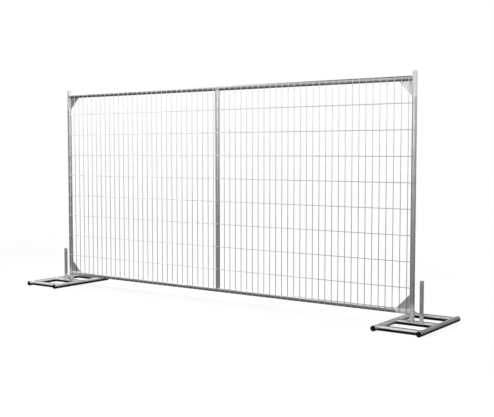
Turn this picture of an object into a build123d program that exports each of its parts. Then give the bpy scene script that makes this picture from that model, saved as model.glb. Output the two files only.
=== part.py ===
"""Welded mesh fence panel that stands on two loose tubular feet.

Frame: origin on the ground below the middle of the panel, X along the panel, Z up.
The mesh lies on the front of the frame tubes, which faces -Y. Sizes are in millimetres.
"""
import os
from math import floor

from build123d import *

# Panel frame, welded from one size of tube
panel_width = 3660.0        # over the outsides of the two side posts
post_length = 1834.0
frame_tube_diameter = 38.0
frame_tube_wall = 2.0
top_rail_inset = 54.5       # from the top rail's axis up to the open ends of the side posts
bottom_rail_inset = 60.5    # from the bottom rail's axis down to the other ends
cope_flat = 6.0             # the tips of a coped end stop this far short of the other tube's axis

# Corner gussets
gusset_leg = 105.0          # along each tube, from the corner where the two tube walls meet
gusset_thickness = 4.0
gusset_tip = 4.0            # blunt end left on each of the two sharp tips
gusset_clip = 12.0          # cut across the inner corner, clear of the weld between the tubes

# Mesh of straight vertical wires, with horizontal wires across their fronts
wire_diameter = 5.0
vertical_wire_pitch = 58.2
horizontal_wire_pitch = 194.0
wire_overhang = 14.0        # a wire runs this far past the axis of the tube that it ends on
wire_edge_gap = 30.0        # least distance from a side post's axis to a vertical wire
wire_seat = 9.0             # half of the stretch of a horizontal wire that lies on a post
wire_bend_radius = 12.0     # at the centre line of a wire, where it dips to a post

# Feet, each a ladder of two skids and three crossbars with two upright spigots
skid_length = 702.0
skid_spacing = 354.0        # between the two skids' axes
foot_tube_diameter = 42.0
foot_tube_wall = 2.6
crossbar_inset = 54.0       # from an end of the skids to the axis of the nearer crossbar
spigot_spacing = 76.0       # between the axes of a foot's two spigots
spigot_height = 300.0       # above the top of the crossbar
spigot_play = 2.0           # all round, inside a side post
spigot_seat_fit = 0.3       # all round, between a spigot's seat and its hole in the crossbar
spigot_chamfer = 3.0
post_seat_gap = 0.3         # from a side post's lower end to the top of the crossbar

# Push-in plugs in the ends of the skids
plug_flange = 2.5
plug_flange_fillet = 1.0
plug_insert = 20.0
plug_insert_wall = 2.2
plug_fit = 0.15             # all round, inside the skid
plug_rib = 1.2              # groove depth between the insert's two ribs
plug_rib_width = 5.0

# Levels and places that follow from the sizes above
frame_radius = frame_tube_diameter / 2
foot_radius = foot_tube_diameter / 2
post_x = panel_width / 2 - frame_radius
post_bottom = foot_tube_diameter + post_seat_gap
post_top = post_bottom + post_length
post_middle_z = (post_bottom + post_top) / 2
bottom_rail_z = post_bottom + bottom_rail_inset
top_rail_z = post_top - top_rail_inset
rail_spacing = top_rail_z - bottom_rail_z
panel_middle_z = (bottom_rail_z + top_rail_z) / 2
foot_x = post_x + spigot_spacing / 2
crossbar_y = skid_length / 2 - crossbar_inset
spigot_radius = frame_radius - frame_tube_wall - spigot_play
spigot_top = foot_tube_diameter + spigot_height

along_x = (1, 0, 0)
along_y = (0, 1, 0)
along_z = (0, 0, 1)


def bar(centre, direction, length, diameter):
    """Solid round bar, centred on a point."""
    return Plane(centre, z_dir=direction) * Cylinder(diameter / 2, length)


def tube(centre, direction, length, diameter, wall):
    """Open round tube, centred on a point."""
    return bar(centre, direction, length, diameter) - bar(centre, direction, length, diameter - 2 * wall)


def coped_tube(centre, direction, span, diameter, wall, onto):
    """Tube between two others, with its ends hollowed out to sit on them.

    span is the distance between the axes of the two tubes, and onto holds their outsides.
    """
    return tube(centre, direction, span - 2 * cope_flat, diameter, wall) - onto


def frame_bar(centre, direction, length):
    """Outside of one of the frame's tubes."""
    return bar(centre, direction, length, frame_tube_diameter)


post_outsides = [frame_bar((side * post_x, 0, post_middle_z), along_z, post_length) for side in (-1, 1)]
rail_outsides = [frame_bar((0, 0, z), along_x, 2 * post_x) for z in (bottom_rail_z, top_rail_z)]


def side_post(side):
    centre = (side * post_x, 0, post_middle_z)
    return tube(centre, along_z, post_length, frame_tube_diameter, frame_tube_wall)


def rail(z):
    return coped_tube((0, 0, z), along_x, 2 * post_x, frame_tube_diameter, frame_tube_wall, post_outsides)


def centre_post():
    return coped_tube((0, 0, panel_middle_z), along_z, rail_spacing, frame_tube_diameter, frame_tube_wall,
                      rail_outsides)


def gusset(side, rail_z, up):
    """Corner plate between a side post and a rail, with its two seats hollowed out to fit them.

    The outline runs inwards from the post's axis and away from the rail's axis.
    """
    near = frame_radius
    outline = [
        (near + gusset_clip, 0),
        (near + gusset_leg, 0),
        (near + gusset_leg, near + gusset_tip),
        (near + gusset_tip, near + gusset_leg),
        (0, near + gusset_leg),
        (0, near + gusset_clip),
        (near, near + gusset_clip),
        (near + gusset_clip, near),
    ]
    corners = [(side * (post_x - across), 0, rail_z + up * away) for across, away in outline]
    plate = extrude(make_face(Polyline(corners, close=True)), gusset_thickness / 2, dir=along_y, both=True)
    return plate - post_outsides - rail_outsides


wires_each_half = floor((post_x - wire_edge_gap) / vertical_wire_pitch + 0.5)
last_wire_x = (wires_each_half - 0.5) * vertical_wire_pitch
horizontal_wire_count = floor(rail_spacing / horizontal_wire_pitch)
seated_wire_y = -(frame_radius + wire_diameter / 2)
crossing_wire_y = seated_wire_y - wire_diameter


def vertical_wires():
    """Straight wires on the fronts of both rails, in two equal halves about the centre post."""
    length = rail_spacing + 2 * wire_overhang
    places = [(step + 0.5) * vertical_wire_pitch for step in range(-wires_each_half, wires_each_half)]
    return Compound([
        bar((x, seated_wire_y, panel_middle_z), along_z, length, wire_diameter).solid() for x in places
    ])


def horizontal_wire():
    """Wire across the fronts of the vertical wires, which dips to lie on each of the three posts."""
    centre_dip = vertical_wire_pitch / 2 - wire_diameter / 2
    side_dip = post_x - last_wire_x - wire_diameter / 2
    right_half = [
        (wire_seat, seated_wire_y),
        (centre_dip, crossing_wire_y),
        (post_x - side_dip, crossing_wire_y),
        (post_x - wire_seat, seated_wire_y),
        (post_x + wire_overhang, seated_wire_y),
    ]
    left_half = [(-x, y) for x, y in reversed(right_half)]
    route = FilletPolyline(left_half + right_half, radius=wire_bend_radius)
    section = Plane(route @ 0, z_dir=route % 0) * Circle(wire_diameter / 2)
    return sweep(section, route)


def horizontal_wires():
    wire = horizontal_wire()
    first_z = panel_middle_z - (horizontal_wire_count - 1) / 2 * horizontal_wire_pitch
    levels = [first_z + step * horizontal_wire_pitch for step in range(horizontal_wire_count)]
    return Compound([(Pos(0, 0, z) * wire).solid() for z in levels])


def skid_axis_x(side, outward):
    """X of a skid's axis: outward is 1 for the skid beyond the end of the panel and -1 for the other."""
    return side * (foot_x + outward * skid_spacing / 2)


def spigot_axis_x(side, outward):
    """X of a spigot's axis: outward is -1 for the one in the post and 1 for the spare one."""
    return side * (foot_x + outward * spigot_spacing / 2)


def skid(side, outward):
    centre = (skid_axis_x(side, outward), 0, foot_radius)
    return tube(centre, along_y, skid_length, foot_tube_diameter, foot_tube_wall)


def crossbar(side, y):
    """Coped tube between the two skids of a foot."""
    skid_outsides = [
        bar((skid_axis_x(side, outward), 0, foot_radius), along_y, skid_length, foot_tube_diameter)
        for outward in (-1, 1)
    ]
    centre = (side * foot_x, y, foot_radius)
    return coped_tube(centre, along_x, skid_spacing, foot_tube_diameter, foot_tube_wall, skid_outsides)


def middle_crossbar(side):
    """Crossbar with a hole in its top for each spigot, down to the level of its axis."""
    holes = [
        Pos(spigot_axis_x(side, outward), 0, foot_radius)
        * Cylinder(spigot_radius, foot_tube_diameter, align=(Align.CENTER, Align.CENTER, Align.MIN))
        for outward in (-1, 1)
    ]
    return crossbar(side, 0) - holes


def spigot(side, outward):
    """Upright pin with a chamfered top, on a seat let into the middle crossbar as far as its axis."""
    seat_radius = spigot_radius - spigot_seat_fit
    profile = Polyline(
        (0, foot_radius),
        (seat_radius, foot_radius),
        (seat_radius, post_bottom),
        (spigot_radius, post_bottom),
        (spigot_radius, spigot_top - spigot_chamfer),
        (spigot_radius - spigot_chamfer, spigot_top),
        (0, spigot_top),
        close=True,
    )
    return Pos(spigot_axis_x(side, outward), 0, 0) * revolve(Plane.XZ * make_face(profile), Axis.Z)


def end_plug():
    """Push-in plug along +Z: a flange as wide as the tube, and a hollow insert with two ribs."""
    insert_radius = foot_radius - foot_tube_wall - plug_fit
    groove_radius = insert_radius - plug_rib
    hollow_radius = groove_radius - plug_insert_wall
    middle = plug_insert / 2
    profile = Polyline(
        (0, -plug_flange),
        (foot_radius, -plug_flange),
        (foot_radius, 0),
        (groove_radius, 0),
        (groove_radius, middle - plug_rib_width),
        (insert_radius, middle - plug_rib_width),
        (groove_radius, middle),
        (groove_radius, plug_insert - plug_rib_width),
        (insert_radius, plug_insert - plug_rib_width),
        (groove_radius, plug_insert),
        (hollow_radius, plug_insert),
        (hollow_radius, 0),
        (0, 0),
        close=True,
    )
    plug = revolve(Plane.XZ * make_face(profile), Axis.Z)
    return fillet(plug.edges().group_by(Axis.Z)[0], plug_flange_fillet)


def end_plugs(side):
    """Four plugs, one in each end of a foot's two skids."""
    plug = end_plug()
    plugs = []
    for outward in (-1, 1):
        for end in (-1, 1):
            mouth = (skid_axis_x(side, outward), end * skid_length / 2, foot_radius)
            plugs.append((Plane(mouth, z_dir=(0, -end, 0)) * plug).solid())
    return Compound(plugs)


def foot(name, side):
    """All the pieces of one foot, by node name."""
    return {
        f"{name}_inner_skid": skid(side, -1),
        f"{name}_outer_skid": skid(side, 1),
        f"{name}_front_crossbar": crossbar(side, -crossbar_y),
        f"{name}_middle_crossbar": middle_crossbar(side),
        f"{name}_rear_crossbar": crossbar(side, crossbar_y),
        f"{name}_post_spigot": spigot(side, -1),
        f"{name}_spare_spigot": spigot(side, 1),
        f"{name}_end_plugs": end_plugs(side),
    }


pieces = {
    "left_post": side_post(-1),
    "right_post": side_post(1),
    "centre_post": centre_post(),
    "top_rail": rail(top_rail_z),
    "bottom_rail": rail(bottom_rail_z),
    "top_left_gusset": gusset(-1, top_rail_z, -1),
    "top_right_gusset": gusset(1, top_rail_z, -1),
    "bottom_left_gusset": gusset(-1, bottom_rail_z, 1),
    "bottom_right_gusset": gusset(1, bottom_rail_z, 1),
    "vertical_wires": vertical_wires(),
    "horizontal_wires": horizontal_wires(),
    **foot("left_foot", -1),
    **foot("right_foot", 1),
}

os.makedirs("parts", exist_ok=True)
for node, shape in pieces.items():
    export_step(shape, f"parts/{node}.step")
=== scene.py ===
from math import radians

import bmesh
import bpy
import numpy as np
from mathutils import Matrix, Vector


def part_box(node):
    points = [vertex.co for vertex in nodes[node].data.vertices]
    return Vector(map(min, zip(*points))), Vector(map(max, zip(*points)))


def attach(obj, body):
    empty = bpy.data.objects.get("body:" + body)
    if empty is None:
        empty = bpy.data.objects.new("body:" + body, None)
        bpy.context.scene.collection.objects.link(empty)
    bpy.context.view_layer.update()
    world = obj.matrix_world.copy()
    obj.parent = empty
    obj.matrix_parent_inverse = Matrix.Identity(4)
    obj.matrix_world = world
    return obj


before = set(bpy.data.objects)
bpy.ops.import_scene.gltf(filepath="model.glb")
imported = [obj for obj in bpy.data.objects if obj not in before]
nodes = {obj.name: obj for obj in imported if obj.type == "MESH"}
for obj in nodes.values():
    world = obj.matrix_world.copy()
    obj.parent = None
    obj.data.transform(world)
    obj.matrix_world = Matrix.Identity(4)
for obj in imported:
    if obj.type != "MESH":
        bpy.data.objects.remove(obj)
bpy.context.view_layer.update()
scene = bpy.context.scene
scene.view_settings.view_transform = "Standard"
print("frame loaded,", len(nodes), "nodes")


def middle(node):
    return np.array(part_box(node)).mean(axis=0)


def spread(node):  # full size along each axis
    return np.ptp(np.array(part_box(node)), axis=0)


postX = middle("right_post")[0]
frameRadius = spread("right_post")[0] / 2
railLevels = {"bottom": middle("bottom_rail")[2], "top": middle("top_rail")[2]}
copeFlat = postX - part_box("top_rail")[1][0]  # tips of a coped end stop this far from the other tube's axis
footX = middle("right_foot_middle_crossbar")[0]
footRadius = spread("right_foot_outer_skid")[0] / 2
skidOffset = middle("right_foot_outer_skid")[0] - footX
crossbarY = middle("right_foot_rear_crossbar")[1]
spigotOffset = middle("right_foot_spare_spigot")[0] - footX
spigotRadius = spread("right_foot_spare_spigot")[0] / 2
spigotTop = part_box("right_foot_spare_spigot")[1][2]
uprights = 62  # wires in the node vertical_wires, evenly spaced
wireRadius = spread("vertical_wires")[1] / 2
uprightPitch = (spread("vertical_wires")[0] - 2 * wireRadius) / (uprights - 1)


class Level:  # a number, colour or vector that varies over a surface; its maths becomes nodes
    def __init__(self, finish, socket):
        self.finish = finish
        self.socket = socket

    def maths(self, operation, first, second):
        return self.finish.node("ShaderNodeMath", {"operation": operation}, {0: first, 1: second})

    def __add__(self, other):
        return self.maths("ADD", self, other)

    def __radd__(self, other):
        return self.maths("ADD", other, self)

    def __sub__(self, other):
        return self.maths("SUBTRACT", self, other)

    def __rsub__(self, other):
        return self.maths("SUBTRACT", other, self)

    def __mul__(self, other):
        return self.maths("MULTIPLY", self, other)

    def __rmul__(self, other):
        return self.maths("MULTIPLY", other, self)

    def __abs__(self):
        return self.maths("ABSOLUTE", self, 0.0)


class Finish:  # nodes of one material, or of the world
    def __init__(self, owner):
        owner.use_nodes = True
        self.owner = owner
        self.tree = owner.node_tree
        self.tree.nodes.clear()

    def node(self, kind, settings=None, sockets=None, out=0):
        made = self.tree.nodes.new(kind)
        for key, value in (settings or {}).items():
            setattr(made, key, value)
        for key, value in (sockets or {}).items():
            if isinstance(value, Level):
                self.tree.links.new(value.socket, made.inputs[key])
            else:
                made.inputs[key].default_value = value
        return Level(self, made.outputs[out] if made.outputs else None)

    def place(self, stretch=(1, 1, 1)):  # object coordinates in metres, stretched per axis
        here = self.node("ShaderNodeTexCoord", out="Object")
        return self.node("ShaderNodeMapping", None, {"Vector": here, "Scale": stretch})

    def part(self, vector, axis):  # one coordinate of a vector
        return self.node("ShaderNodeSeparateXYZ", None, {0: vector}, out="XYZ".index(axis))

    def noise(self, where, scale, detail=3.0, rough=0.55):
        sockets = {"Vector": where, "Scale": scale, "Detail": detail, "Roughness": rough}
        return self.node("ShaderNodeTexNoise", None, sockets)

    def ramp(self, level, low, high, smooth="SMOOTHSTEP"):  # 0 at low, 1 at high, held beyond them
        sockets = {"Value": level, "From Min": low, "From Max": high}
        return self.node("ShaderNodeMapRange", {"interpolation_type": smooth}, sockets)

    def higher(self, first, second):
        return self.node("ShaderNodeMath", {"operation": "MAXIMUM"}, {0: first, 1: second})

    def near(self, where, points, inner, outer):  # 1 within inner of any of the points, 0 past outer
        mask = 0.0
        for point in points:
            ends = {0: where, 1: point}
            gap = self.node("ShaderNodeVectorMath", {"operation": "DISTANCE"}, ends, out="Value")
            mask = self.higher(mask, self.ramp(gap, outer, inner))
        return mask

    def mix(self, share, first, second):  # colours
        return self.node("ShaderNodeMix", {"data_type": "RGBA"}, {0: share, 6: first, 7: second}, out=2)

    def bump(self, height, strength, distance):
        sockets = {"Height": height, "Strength": strength, "Distance": distance}
        return self.node("ShaderNodeBump", None, sockets)

    def surface(self, sockets):
        shader = self.node("ShaderNodeBsdfPrincipled", None, sockets)
        self.node("ShaderNodeOutputMaterial", None, {"Surface": shader})
        return self.owner


def grey(tone):  # with a trace of blue
    return (tone, tone, tone * 1.01, 1)


# Zinc: spangle crystals of a steady size, a slow mottle, lines drawn along the tube, painted shade that
# darkens it towards the ground, painted light that makes upper faces paler, a painted dark band on their
# crests, painted shade under whatever faces down, and brushed zinc paint round the welds.
def galvanised(name, cut):
    zinc = Finish(bpy.data.materials.new(name))
    where = zinc.place()
    facing = zinc.part(zinc.node("ShaderNodeTexCoord", out="Normal"), "Z")
    height = zinc.part(where, "Z")
    cells = {"Vector": where, "Scale": 1 / cut["spangle"]}
    spangle = zinc.node("ShaderNodeTexVoronoi", {"feature": "F1"}, cells, out="Color")
    crystal = zinc.part(spangle, "X") * cut["crystal"]
    mottle = zinc.noise(where, cut["mottleScale"])
    fine = zinc.noise(where, cut["fineScale"])
    blotch, speck = mottle - 0.5, fine - 0.5
    drawn = zinc.noise(zinc.place(cut["drawn"]), 1.0, 2.0)
    patches = crystal + mottle * cut["mottled"] + drawn * (1 - cut["mottled"] - cut["crystal"])
    clean = zinc.mix(patches, grey(cut["dark"]), grey(cut["light"]))
    # Painted shade: the colour darkens towards the ground.
    ragged = height + blotch * cut["lowShadeEdge"]
    lowShade = zinc.ramp(ragged, cut["lowShadeTop"], cut["lowShadeFoot"], "LINEAR") * cut["lowShade"]
    withLowShade = zinc.mix(lowShade, clean, grey(cut["lowShadeTone"]))
    slope = facing + blotch * cut["slopeEdge"]
    # Painted light: faces that turn up are paler.
    upperLight = zinc.ramp(slope, *cut["upperLight"])
    withUpperLight = zinc.mix(upperLight, withLowShade, zinc.mix(patches, grey(cut["upperLightDark"]), grey(cut["upperLightPale"])))
    # Painted shade: a darker band on the crests, or all round, over a stretch along x.
    along = zinc.ramp(zinc.part(where, "X"), *cut["crestShadeFrom"], "LINEAR")
    crestShaded = zinc.ramp(facing + speck * cut["crestShadeEdge"], *cut["crest"]) * along * cut["crestShade"]
    withCrestShade = zinc.mix(crestShaded, withUpperLight, grey(cut["crestShadeTone"]))
    # Painted shade under the faces that turn down; there the metal goes and it turns rougher.
    low, high = cut["underShadeFacing"]
    underShade = zinc.ramp(slope + along * cut["lift"], high, low) * cut["underShade"]
    underShaded = zinc.mix(underShade, withCrestShade, grey(cut["underShadeTone"]))
    brushed, stippled = cut["paintEdge"]
    paint = cut["welds"](zinc, where, blotch * brushed + speck * stippled) * cut["paint"]
    colour = zinc.mix(paint * (1 - underShade * cut["underShaded"]), underShaded, grey(cut["paintTone"]))
    metallic = cut["metallic"] * (1 - underShade) * (1 - paint)
    roughness = cut["rough"]
    for mask, share in zip((crystal, fine, underShade, paint), cut["rougher"]):
        roughness = roughness + mask * share
    fineRelief, drawnRelief = cut["relief"]
    normal = zinc.bump(fine * fineRelief + crystal + drawn * drawnRelief, *cut["bump"])
    sockets = {"Base Color": colour, "Metallic": metallic, "Roughness": roughness, "Normal": normal}
    return zinc.surface({**sockets, "Specular IOR Level": cut["gloss"]})


paintReach = {  # metres from a weld to where its paint or dull metal is full, and to where that ends
    "corner": (0.035, 0.065), "postFoot": (-0.01, 0.09), "postHead": (0.10, 0.15), "railEnd": (0.11, 0.14),
    "drift": (0.1, 0.5), "driftShare": 0.6, "footJoint": (0.030, 0.050),
    "wireEnd": (0.022, 0.032), "wireFootShare": 0.45, "crossing": (0.0025, 0.0040),
}


def folded(zinc, where, across, ripple):  # the two halves of the object, or of a foot, laid on each other
    x, y, z = (zinc.part(where, axis) for axis in "XYZ")
    return zinc.node("ShaderNodeCombineXYZ", None, {0: abs(abs(x) - across) + ripple, 1: abs(y), 2: z})


def frameWelds(zinc, where, ripple):  # corners of the frame
    corners = [(postX, 0, z) for z in railLevels.values()]
    return zinc.near(folded(zinc, where, 0, ripple), corners, *paintReach["corner"])


def postEnds(zinc, where, ripple):  # side posts, from the gussets to the open ends
    height = zinc.part(where, "Z") + ripple
    (lowFull, lowEnd), (highFull, highEnd) = paintReach["postFoot"], paintReach["postHead"]
    foot = zinc.ramp(height, railLevels["bottom"] + lowEnd, railLevels["bottom"] + lowFull)
    head = zinc.ramp(height, railLevels["top"] - highEnd, railLevels["top"] - highFull)
    aside = zinc.ramp(abs(zinc.part(where, "X")), postX / 3, postX / 2)  # none on the centre post
    return zinc.higher(foot, head) * aside


def railEnds(zinc, where, ripple):  # bottom rail, along the gussets, and thinly past the left one
    x = zinc.part(where, "X") + ripple
    (full, end), (driftFull, driftEnd) = paintReach["railEnd"], paintReach["drift"]
    drift = zinc.ramp(x, driftEnd - postX, driftFull - postX, "LINEAR") * paintReach["driftShare"]
    return zinc.higher(zinc.ramp(abs(x), postX - end, postX - full), drift)


def footWelds(zinc, where, ripple):  # ends of the crossbars and feet of the spigots
    joints = [(skidOffset, y, footRadius) for y in (0, crossbarY)] + [(spigotOffset, 0, footRadius * 2)]
    return zinc.near(folded(zinc, where, footX, ripple), joints, *paintReach["footJoint"])


def wireWelds(zinc, where, ripple):  # both ends of the upright wires, where they lie on the rails
    height = zinc.part(where, "Z") + ripple
    full, end = paintReach["wireEnd"]
    bottom, top = (zinc.ramp(abs(height - level), end, full) for level in railLevels.values())
    return zinc.higher(bottom * paintReach["wireFootShare"], top)


def crossWelds(zinc, where, ripple):  # dull metal at every crossing; no upright wire stands in the middle
    ends = {0: zinc.part(where, "X"), 1: uprightPitch / 2, 2: -uprightPitch / 2}
    offset = zinc.node("ShaderNodeMath", {"operation": "WRAP"}, ends)
    full, end = paintReach["crossing"]
    return zinc.ramp(uprightPitch / 2 - abs(offset), end, full)


def noWelds(zinc, where, ripple):
    return ripple * 0


# Tones are linear greys, lengths metres; rougher is for crystal, fine grain, painted under-shade and paint.
frameZinc = {
    "mottleScale": 7.0, "fineScale": 320.0, "mottled": 0.45, "spangle": 0.009, "crystal": 0.30,
    "drawn": (150, 150, 2), "dark": 0.46, "light": 0.64, "metallic": 0.22, "rough": 0.24, "gloss": 0.2,
    "rougher": (0.33, 0.06, 0.25, 0.15), "relief": (0.5, 0.2), "bump": (0.15, 0.0004),
    "lowShadeTop": 1.80, "lowShadeFoot": 0.70, "lowShade": 0.94, "lowShadeTone": 0.23, "lowShadeEdge": 0.3,
    "upperLight": (0.05, 0.5), "upperLightDark": 0.66, "upperLightPale": 0.80, "slopeEdge": 0.2,
    "crest": (0.80, 0.97), "crestShade": 0.8, "crestShadeTone": 0.26, "crestShadeEdge": 0.1,
    "crestShadeFrom": (-9.0, -8.0), "lift": 0.0,  # painted crest shade all along; lift lowers the painted under-shade where crest shade lies
    "underShadeFacing": (-0.6, 0.0), "underShade": 0.6, "underShadeTone": 0.05,
    "welds": noWelds, "paint": 0.8, "paintTone": 0.72, "underShaded": 1.0, "paintEdge": (0.03, 0.02),
}
postZinc = dict(
    frameZinc, crystal=0.05, dark=0.30, light=0.42, rough=0.27, metallic=0.4, lowShadeTone=0.22,
    welds=postEnds, paintTone=0.82,
)
railZinc = dict(
    frameZinc, rough=0.42, crystal=0.12, drawn=(2, 150, 150),
    upperLight=(0.25, 0.6), upperLightDark=0.74, upperLightPale=0.9, crestShadeTone=0.2, crestShadeFrom=(0.2, 1.2),
    crest=(0.70, 0.95), underShadeFacing=(-0.45, 0.45), underShade=0.58, underShadeTone=0.06, lift=0.12,
    welds=railEnds, paint=0.95, paintTone=0.86, underShaded=0.3,
)
# A shaded copy of the rail zinc: painted shade darkens the top rail above and below, more towards +x.
topRailZinc = dict(
    railZinc, upperLightDark=0.37, upperLightPale=0.50, crest=(0.35, 0.75), crestShade=0.88, crestShadeTone=0.09,
    crestShadeFrom=(0.4, 1.1), gloss=0.05, metallic=0.1,
    underShadeFacing=(-0.5, 0.40), underShade=0.82, underShadeTone=0.03, lift=0.2, welds=noWelds,
)
plateZinc = dict(
    frameZinc, rough=0.42, spangle=0.014, crystal=0.4, drawn=(30, 30, 30), dark=0.62, light=0.82,
    lowShadeTone=0.37, welds=frameWelds, paint=0.5, paintTone=0.6,
)
# A shaded copy of the plate zinc for the top left gusset: painted shade.
shadedPlateZinc = dict(plateZinc, dark=0.34, light=0.48, welds=noWelds)
wireZinc = dict(
    frameZinc, rough=0.42, spangle=0.004, drawn=(4, 4, 4), dark=0.72, light=0.94,
    lowShadeTop=1.85, lowShadeFoot=0.74, lowShade=1.0, lowShadeTone=0.15, underShade=0.3,
    crest=(-1.2, -1.1), crestShade=0.16, crestShadeTone=0.15, crestShadeFrom=(-1.3, 0.8),  # painted shade all round, darker towards the +x end
    welds=wireWelds, paint=0.9, paintTone=0.78,
)
# Cross wires: no shade towards the ground, but painted shade all round that grows towards the +x end.
crossWireZinc = dict(
    wireZinc, dark=0.62, light=0.80, lowShade=0.0, upperLightDark=0.85, upperLightPale=0.95, underShade=0.15,
    crestShade=0.74, crestShadeFrom=(-0.9, 1.5), welds=crossWelds, paint=1.0, paintTone=0.46,
)
# Feet: painted shade makes the faces that turn down nearly black.
skidZinc = dict(
    frameZinc, rough=0.42, gloss=0.05, drawn=(150, 2, 150), dark=0.40, light=0.54,
    lowShadeTop=0.5, lowShadeFoot=0.1, lowShade=0.2,
    upperLightDark=0.82, upperLightPale=0.96, crest=(0.62, 0.92), crestShade=0.5, crestShadeTone=0.18,
    underShadeFacing=(-0.12, 0.26), underShade=0.99, underShadeTone=0.003, welds=footWelds, paint=0.6, paintTone=0.46,
)
# Lit and shaded copies of the skid zinc: painted light on one skid, painted shade on the others.
litSkidZinc = dict(skidZinc, upperLightDark=0.92, upperLightPale=0.98, underShadeFacing=(-0.45, -0.05), welds=noWelds)
halfShadedSkidZinc = dict(skidZinc, upperLightDark=0.60, upperLightPale=0.72, crestShade=0.9)
shadedSkidZinc = dict(skidZinc, upperLightDark=0.46, upperLightPale=0.58, crestShadeTone=0.40, underShadeFacing=(-0.20, 0.50), paint=0.3)
crossbarZinc = dict(skidZinc, drawn=(2, 150, 150), crestShade=0.9)
beadZinc = dict(frameZinc, spangle=0.003, drawn=(40, 40, 40), dark=0.60, light=0.78, lowShade=0.3, rough=0.5)


# Spigots: the same zinc, scored up and down by the posts that slide over them, most of all near the top,
# and sprayed with zinc paint at the foot.
def scoredBar(name, cut):
    bar = Finish(bpy.data.materials.new(name))
    where = bar.place()
    height = bar.part(where, "Z")
    mottle = bar.noise(where, cut["mottleScale"])
    fine = bar.noise(where, cut["fineScale"])
    blotch = mottle - 0.5
    scores = bar.ramp(bar.noise(bar.place(cut["scored"]), 1.0, 4.0, 0.7), *cut["scoreEdge"])
    rubbed = bar.ramp(height + blotch * cut["rubEdge"], spigotTop - cut["rubDepth"], spigotTop)
    bright = bar.higher(scores * cut["scoreShare"], rubbed)
    dull = bar.mix(mottle, grey(cut["dark"]), grey(cut["light"]))
    worn = bar.mix(bright * cut["brightShare"], dull, grey(cut["brightTone"]))
    full, end = (footRadius * 2 + reach for reach in cut["sprayed"])
    paint = bar.ramp(height + blotch * cut["paintEdge"], end, full)
    colour = bar.mix(paint * cut["paint"], worn, grey(cut["paintTone"]))
    scoreRelief, fineRelief = cut["relief"]
    normal = bar.bump(scores * scoreRelief + fine * fineRelief, *cut["bump"])
    roughness = cut["rough"] - bright * cut["smoother"]
    sockets = {"Base Color": colour, "Roughness": roughness, "Normal": normal}
    return bar.surface({**sockets, "Metallic": cut["metallic"], "Specular IOR Level": cut["gloss"]})


spigotSteel = {
    "mottleScale": 14.0, "fineScale": 320.0, "dark": 0.20, "light": 0.32, "metallic": 0.2, "gloss": 0.2,
    "scored": (260, 260, 5), "scoreEdge": (0.54, 0.66), "scoreShare": 0.6, "rubDepth": 0.05, "rubEdge": 0.08,
    "brightTone": 0.45, "brightShare": 0.4, "rough": 0.45, "smoother": 0.1,
    "relief": (-0.6, 0.4), "bump": (0.2, 0.0004),
    "sprayed": (0.03, 0.07), "paint": 0.8, "paintTone": 0.66, "paintEdge": 0.03,
}


# Plugs: black plastic with a moulded grain, scuffed where it has been dragged.
def mouldedPlastic(name, cut):
    plastic = Finish(bpy.data.materials.new(name))
    where = plastic.place()
    grain = plastic.noise(where, cut["grainScale"], 2.0)
    worn = plastic.ramp(plastic.noise(where, cut["scuffScale"], 5.0, 0.7), *cut["scuffEdge"])
    colour = plastic.mix(worn * cut["scuffShare"], grey(cut["tone"]), grey(cut["scuffTone"]))
    normal = plastic.bump(grain, *cut["bump"])
    roughness = cut["rough"] + worn * cut["rougher"]
    sockets = {"Base Color": colour, "Roughness": roughness, "Normal": normal}
    return plastic.surface({**sockets, "Specular IOR Level": cut["gloss"]})


plugPlastic = {
    "grainScale": 900.0, "tone": 0.002, "rough": 0.6, "gloss": 0.08, "bump": (0.2, 0.0003),
    "scuffScale": 60.0, "scuffEdge": (0.56, 0.72), "scuffShare": 0.5, "scuffTone": 0.015, "rougher": 0.2,
}

plate = galvanised("galvanisedPlate", plateZinc)
shadedSkid = galvanised("galvanisedShadedSkid", shadedSkidZinc)
finishes = {  # by the ending of a node's name
    "_post": galvanised("galvanisedPost", postZinc),
    "top_rail": galvanised("galvanisedTopRail", topRailZinc),
    "bottom_rail": galvanised("galvanisedBottomRail", railZinc),
    "top_left_gusset": galvanised("galvanisedShadedPlate", shadedPlateZinc),
    "_right_gusset": plate,
    "bottom_left_gusset": plate,
    "vertical_wires": galvanised("galvanisedWire", wireZinc),
    "horizontal_wires": galvanised("galvanisedCrossWire", crossWireZinc),
    "left_foot_outer_skid": galvanised("galvanisedHalfShadedSkid", halfShadedSkidZinc),
    "left_foot_inner_skid": shadedSkid,
    "right_foot_inner_skid": galvanised("galvanisedLitSkid", litSkidZinc),
    "right_foot_outer_skid": shadedSkid,
    "_crossbar": galvanised("galvanisedCrossbar", crossbarZinc),
    "_spigot": scoredBar("scoredSpigot", spigotSteel),
    "_plugs": mouldedPlastic("mouldedPlug", plugPlastic),
}
for nodeName, node in nodes.items():
    node.data.materials.clear()
    for ending, finish in finishes.items():
        if nodeName.endswith(ending):
            node.data.materials.append(finish)
print("finishes on", sum(len(node.data.materials) for node in nodes.values()), "nodes")


def unit(vectors):
    return vectors / np.linalg.norm(vectors, axis=-1, keepdims=True)


def turned(vectors, guide):  # flipped where needed to lie on the guide's side
    return vectors * np.sign(np.sum(vectors * guide, axis=-1, keepdims=True))


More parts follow.
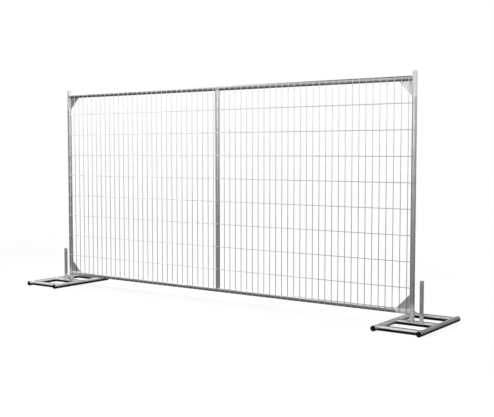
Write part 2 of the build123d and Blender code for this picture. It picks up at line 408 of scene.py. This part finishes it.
def makePiece(name, skins, finish, body):
    points, faces, count = [], [], 0
    for skin, ring in skins:  # a skin closes across its columns, and along its rows where ring is set
        rows, columns = skin.shape[:2]
        row, column = np.meshgrid(np.arange(rows if ring else rows - 1), np.arange(columns), indexing="ij")
        nextRow, nextColumn = (row + 1) % rows, (column + 1) % columns
        corners = ((row, column), (nextRow, column), (nextRow, nextColumn), (row, nextColumn))
        quads = np.stack([count + up * columns + over for up, over in corners], axis=-1)
        points.append(skin.reshape(-1, 3))
        faces.append(quads.reshape(-1, 4))
        count += rows * columns
    mesh = bpy.data.meshes.new(name)
    mesh.from_pydata(np.concatenate(points).tolist(), [], np.concatenate(faces).tolist())
    shell = bmesh.new()
    shell.from_mesh(mesh)
    bmesh.ops.remove_doubles(shell, verts=shell.verts, dist=1e-6)  # closes the tapered ends and the poles
    bmesh.ops.recalc_face_normals(shell, faces=shell.faces)
    shell.to_mesh(mesh)
    shell.free()
    mesh.shade_smooth()
    mesh.materials.append(finish)
    piece = bpy.data.objects.new(name, mesh)
    scene.collection.objects.link(piece)
    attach(piece, body)
    print(name, len(mesh.polygons), "faces")


# Weld bead along a seam: each section spans from a toe one leg up the first wall to a toe one leg out on
# the second, and swells between them by a crown that dips once in every ripple. Its root lies below.
def bead(seam, face, wall, away, cut, ring, share=1.0):
    ahead = np.roll(seam, -1, axis=0) - np.roll(seam, 1, axis=0)
    if not ring:
        ahead[[0, -1]] = seam[-1] - seam[0]
    ahead = unit(ahead)
    up = turned(np.cross(face, ahead), away)
    over = turned(np.cross(wall, ahead), face - up)
    out = unit(face + wall)
    steps = np.linalg.norm(np.diff(seam, axis=0), axis=1)
    travel = np.append(0, np.cumsum(steps))[:, None]
    length = travel[-1, 0] + (np.linalg.norm(seam[0] - seam[-1]) if ring else 0)
    ripples = round(length / cut["ripple"])
    wave = 2 * np.pi * travel / length
    slow, quick, lesser = cut["sway"]
    drift = 1 + cut["drift"] * (np.sin(slow * wave) + lesser * np.sin(quick * wave + 1)) / (1 + lesser)
    left = np.minimum(travel, length - travel) / cut["leg"]
    taper = share if ring else np.sqrt(1 - (1 - np.clip(left, 0, 1)) ** 2)
    leg = cut["leg"] * drift * taper
    crown = cut["crown"] * taper * (1 - cut["dip"] * (1 - np.abs(np.cos(ripples * wave / 2))))
    t = np.linspace(0, 1, cut["across"])[None, :, None]
    sink = cut["sink"] * taper * np.ones_like(leg)  # the toes are pressed in, so that they leave no edge
    swell = 4 * t * (1 - t) * crown[:, None] - (2 * t - 1) ** cut["toe"] * sink[:, None]
    spans = (1 - t) * (leg * up)[:, None] + t * (leg * over)[:, None] + swell * out[:, None]
    root = seam - cut["root"] * taper * out
    return np.concatenate([seam[:, None] + spans, root[:, None]], axis=1), ring


# Seam of a tube that ends on another: round the branch by angle, as far along it as the main tube's wall
# stands at that distance from the main tube's axis, and never nearer than the flat left on the cope's tips.
def teeBead(hub, run, away, mainRadius, branchRadius, flat, cut):
    hub, run, away = np.array(hub), np.array(run), np.array(away)
    angle = np.linspace(0, 2 * np.pi, cut["around"], endpoint=False)[:, None]
    side = np.cross(away, run)
    face = np.cos(angle) * side + np.sin(angle) * run
    offset = branchRadius * np.cos(angle)
    rise = np.maximum(np.sqrt(np.maximum(mainRadius ** 2 - offset ** 2, 0)), flat)
    wall = unit(offset * side + rise * away)
    share = cut["slim"] + (1 - cut["slim"]) * np.cos(angle) ** 2  # thinner over the main tube's crest
    return bead(hub + branchRadius * face + rise * away, face, wall, away, cut, True, share)


tubeBead = {
    "leg": 0.0042, "crown": 0.0011, "ripple": 0.0027, "dip": 0.45, "drift": 0.10,
    "sway": (3, 8, 0.6),  # swings along a seam, slow and quick, and the quick ones' share
    "sink": 0.0004, "toe": 8, "root": 0.0010, "slim": 1.0, "around": 360, "across": 6,
}
beadFinish = galvanised("galvanisedBead", beadZinc)
frameBeads = [
    teeBead((side * postX, 0, z), (0, 0, 1), (-side, 0, 0), frameRadius, frameRadius, copeFlat, tubeBead)
    for side in (-1, 1) for z in railLevels.values()
] + [
    teeBead((0, 0, railLevels[end]), (1, 0, 0), (0, 0, up), frameRadius, frameRadius, copeFlat, tubeBead)
    for end, up in (("bottom", 1), ("top", -1))
]
makePiece("frame_welds", frameBeads, beadFinish, "panel")

footBead = dict(tubeBead, leg=0.0046, crown=0.0012, ground=0.0003)
spigotBead = dict(tubeBead, leg=0.0044, crown=0.0008, slim=0.35)
footBeadZinc = dict(skidZinc, spangle=0.003, drawn=(40, 40, 40), welds=noWelds)
footBeadFinish = galvanised("galvanisedFootBead", footBeadZinc)
for foot, side in (("left_foot", -1), ("right_foot", 1)):
    beads = [
        teeBead((side * footX + end * skidOffset, y, footRadius), (0, 1, 0), (-end, 0, 0),
                footRadius, footRadius, copeFlat, footBead)
        for end in (-1, 1) for y in (-crossbarY, 0, crossbarY)
    ] + [
        teeBead((side * footX + end * spigotOffset, 0, footRadius), (1, 0, 0), (0, 0, 1),
                footRadius, spigotRadius, 0, spigotBead)
        for end in (-1, 1)
    ]
    for skin, ring in beads:
        skin[..., 2] = np.maximum(skin[..., 2], footBead["ground"])  # dressed flush underneath
    makePiece(foot + "_welds", beads, footBeadFinish, foot)


gussetBead = dict(tubeBead, leg=0.0034, crown=0.0008, clip=0.012, along=200)
plateHalf = spread("top_right_gusset")[1] / 2
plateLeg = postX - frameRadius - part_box("top_right_gusset")[0][0]


# Straight seam of a gusset on a tube: along the tube, from the clipped corner to the plate's tip, at the
# depth that the round wall has half a plate's thickness off its middle.
def plateBead(corner, run, away, face, cut):
    corner, run, away, face = np.array(corner), np.array(run), np.array(away), np.array(face)
    depth = np.sqrt(frameRadius ** 2 - plateHalf ** 2)
    travel = np.linspace(frameRadius + cut["clip"], frameRadius + plateLeg, cut["along"])[:, None]
    seam = corner + travel * run + depth * away + plateHalf * face
    wall = (depth * away + plateHalf * face) / frameRadius
    face, wall = (np.broadcast_to(side, seam.shape) for side in (face, wall))
    return bead(seam, face, wall, away, cut, False)


gussetBeads = []
for side in (-1, 1):
    for end, up in (("bottom", 1), ("top", -1)):
        inwards, upwards = (-side, 0, 0), (0, 0, up)
        for run, away in ((inwards, upwards), (upwards, inwards)):
            for front in (-1, 1):
                corner = (side * postX, 0, railLevels[end])
                gussetBeads.append(plateBead(corner, run, away, (0, front, 0), gussetBead))
makePiece("gusset_welds", gussetBeads, beadFinish, "panel")

wireSpots = {
    "columns": uprights, "rows": 8, "around": 8, "rings": 5,
    "crossing": (0.0035, 0.0015, 0.0035), "onRail": (0.0042, 0.0014, 0.0060),
    "onPost": (0.0060, 0.0014, 0.0042),
}
wireY = middle("vertical_wires")[1]


# Spot welds: a ball of a few faces by two angles, pressed to a lens and set at every place at once.
def spots(places, radii, cut):
    tilt = np.linspace(0, np.pi, cut["rings"])[:, None]
    turn = np.linspace(0, 2 * np.pi, cut["around"], endpoint=False)[None, :]
    x, y, z = np.sin(tilt) * np.cos(turn), np.cos(tilt) + 0 * turn, np.sin(tilt) * np.sin(turn)
    ball = np.stack([x, y, z], axis=-1) * np.array(radii)
    return [(lens, False) for lens in places[:, None, None] + ball]


def lattice(xs, y, zs):  # a point for every x and z, all at one depth
    x, z = np.meshgrid(xs, zs)
    return np.stack([x.ravel(), np.full(x.size, y), z.ravel()], axis=-1)


def wireLines(node, axis, count):  # axes of a node's wires, evenly spaced from its first to its last
    low, high = (corner[axis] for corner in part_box(node))
    return np.linspace(low + wireRadius, high - wireRadius, count)


columnXs = wireLines("vertical_wires", 0, wireSpots["columns"])
rowZs = wireLines("horizontal_wires", 2, wireSpots["rows"])
seatY, crossY = wireY + wireRadius, wireY - wireRadius
meshSpots = (
    spots(lattice(columnXs, crossY, rowZs), wireSpots["crossing"], wireSpots)
    + spots(lattice(columnXs, seatY, list(railLevels.values())), wireSpots["onRail"], wireSpots)
    + spots(lattice([-postX, 0, postX], seatY, rowZs), wireSpots["onPost"], wireSpots)
)
makePiece("mesh_spot_welds", meshSpots, finishes["vertical_wires"], "panel")

stage = {
    "reach": 60.0, "floorTone": 0.15, "nearGlow": 0.79, "farGlow": 0.99, "glowSpan": (0.0, 5.2),
    "glowAt": (-1.5, 0, 0), "ambient": 0.05,
}


def seenDirectly(finish):  # 1 for rays from the camera, and for those that metal or glass sends on
    kinds = ("Is Camera Ray", "Is Glossy Ray", "Is Transmission Ray")
    camera, glossy, through = (finish.node("ShaderNodeLightPath", out=kind) for kind in kinds)
    return finish.higher(finish.higher(camera, glossy), through)


def makeFloor(cut):  # throws little light up, yet looks white: its glow makes up what the lamps leave
    pale = Finish(bpy.data.materials.new("paleFloor"))
    flat = pale.node("ShaderNodeBsdfDiffuse", None, {"Color": grey(cut["floorTone"])})
    under = {0: pale.place(), 1: cut["glowAt"]}
    span = pale.node("ShaderNodeVectorMath", {"operation": "DISTANCE"}, under, out="Value")
    far = pale.ramp(span, *cut["glowSpan"], "LINEAR")
    level = cut["nearGlow"] + far * (cut["farGlow"] - cut["nearGlow"])
    glow = pale.node("ShaderNodeEmission", None, {"Strength": seenDirectly(pale) * level})
    both = pale.node("ShaderNodeAddShader", None, {0: flat, 1: glow})
    pale.node("ShaderNodeOutputMaterial", None, {"Surface": both})
    mesh = bpy.data.meshes.new("floor")
    corners = [(x * cut["reach"], y * cut["reach"], 0) for x, y in ((-1, -1), (1, -1), (1, 1), (-1, 1))]
    mesh.from_pydata(corners, [], [(0, 1, 2, 3)])
    mesh.materials.append(pale.owner)
    floor = bpy.data.objects.new("floor", mesh)
    scene.collection.objects.link(floor)


def makeWorld(cut):
    scene.world = bpy.data.worlds.new("whiteStudio")
    studio = Finish(scene.world)
    white = studio.node("ShaderNodeBackground", None, {"Color": grey(1.0), "Strength": 1.0})
    fill = studio.node("ShaderNodeBackground", None, {"Color": grey(1.0), "Strength": cut["ambient"]})
    both = studio.node("ShaderNodeMixShader", None, {0: seenDirectly(studio), 1: fill, 2: white})
    studio.node("ShaderNodeOutputWorld", None, {"Surface": both})


lamps = {  # soft boxes: metres, then watts and degrees
    "key": {"at": (1.2, -7.5, 2.4), "aim": (2.2, 0, 1.7), "size": (2.0, 1.5), "power": 39, "spread": 65},
    "fill": {"at": (8.0, -7.0, 2.0), "aim": (-2.8, 0, 1.6), "size": (2.0, 3.0), "power": 39, "spread": 40},
    "side": {"at": (9.0, 2.0, 3.4), "aim": (2.2, 0, 2.1), "size": (2.0, 2.0), "power": 11, "spread": 40},
    "crest": {"at": (-2.2, 0, 4.2), "aim": (-1.2, 0, 1.0), "size": (1.5, 1.5), "power": 95, "spread": 120},
    "rear": {"at": (-5.5, 7.0, 3.0), "aim": (-0.5, 0, 1.2), "size": (3.0, 2.0), "power": 50, "spread": 60},
}


def makeLamp(name, cut):
    light = bpy.data.lights.new(name, "AREA")
    light.shape = "RECTANGLE"
    light.size, light.size_y = cut["size"]
    light.energy = cut["power"]
    light.spread = radians(cut["spread"])
    lamp = bpy.data.objects.new(name, light)
    lamp.location = cut["at"]
    lamp.visible_camera = False
    lamp.rotation_euler = (Vector(cut["aim"]) - Vector(cut["at"])).to_track_quat("-Z", "Y").to_euler()
    scene.collection.objects.link(lamp)


viewpoint = {"at": (4.5453, -5.9065, 1.2863), "turn": (86.283, 0.0, 35.653), "lens": 63.57, "sensor": 36.0}


def makeCamera(cut):
    lens = bpy.data.cameras.new("camera")
    lens.sensor_width = cut["sensor"]
    lens.lens = cut["lens"]
    lens.clip_end = 2 * stage["reach"]
    camera = bpy.data.objects.new("camera", lens)
    camera.location = cut["at"]
    camera.rotation_euler = [radians(angle) for angle in cut["turn"]]
    scene.collection.objects.link(camera)
    scene.camera = camera


makeFloor(stage)
makeWorld(stage)
for lampName, lampCut in lamps.items():
    makeLamp(lampName, lampCut)
makeCamera(viewpoint)
print("stage set")
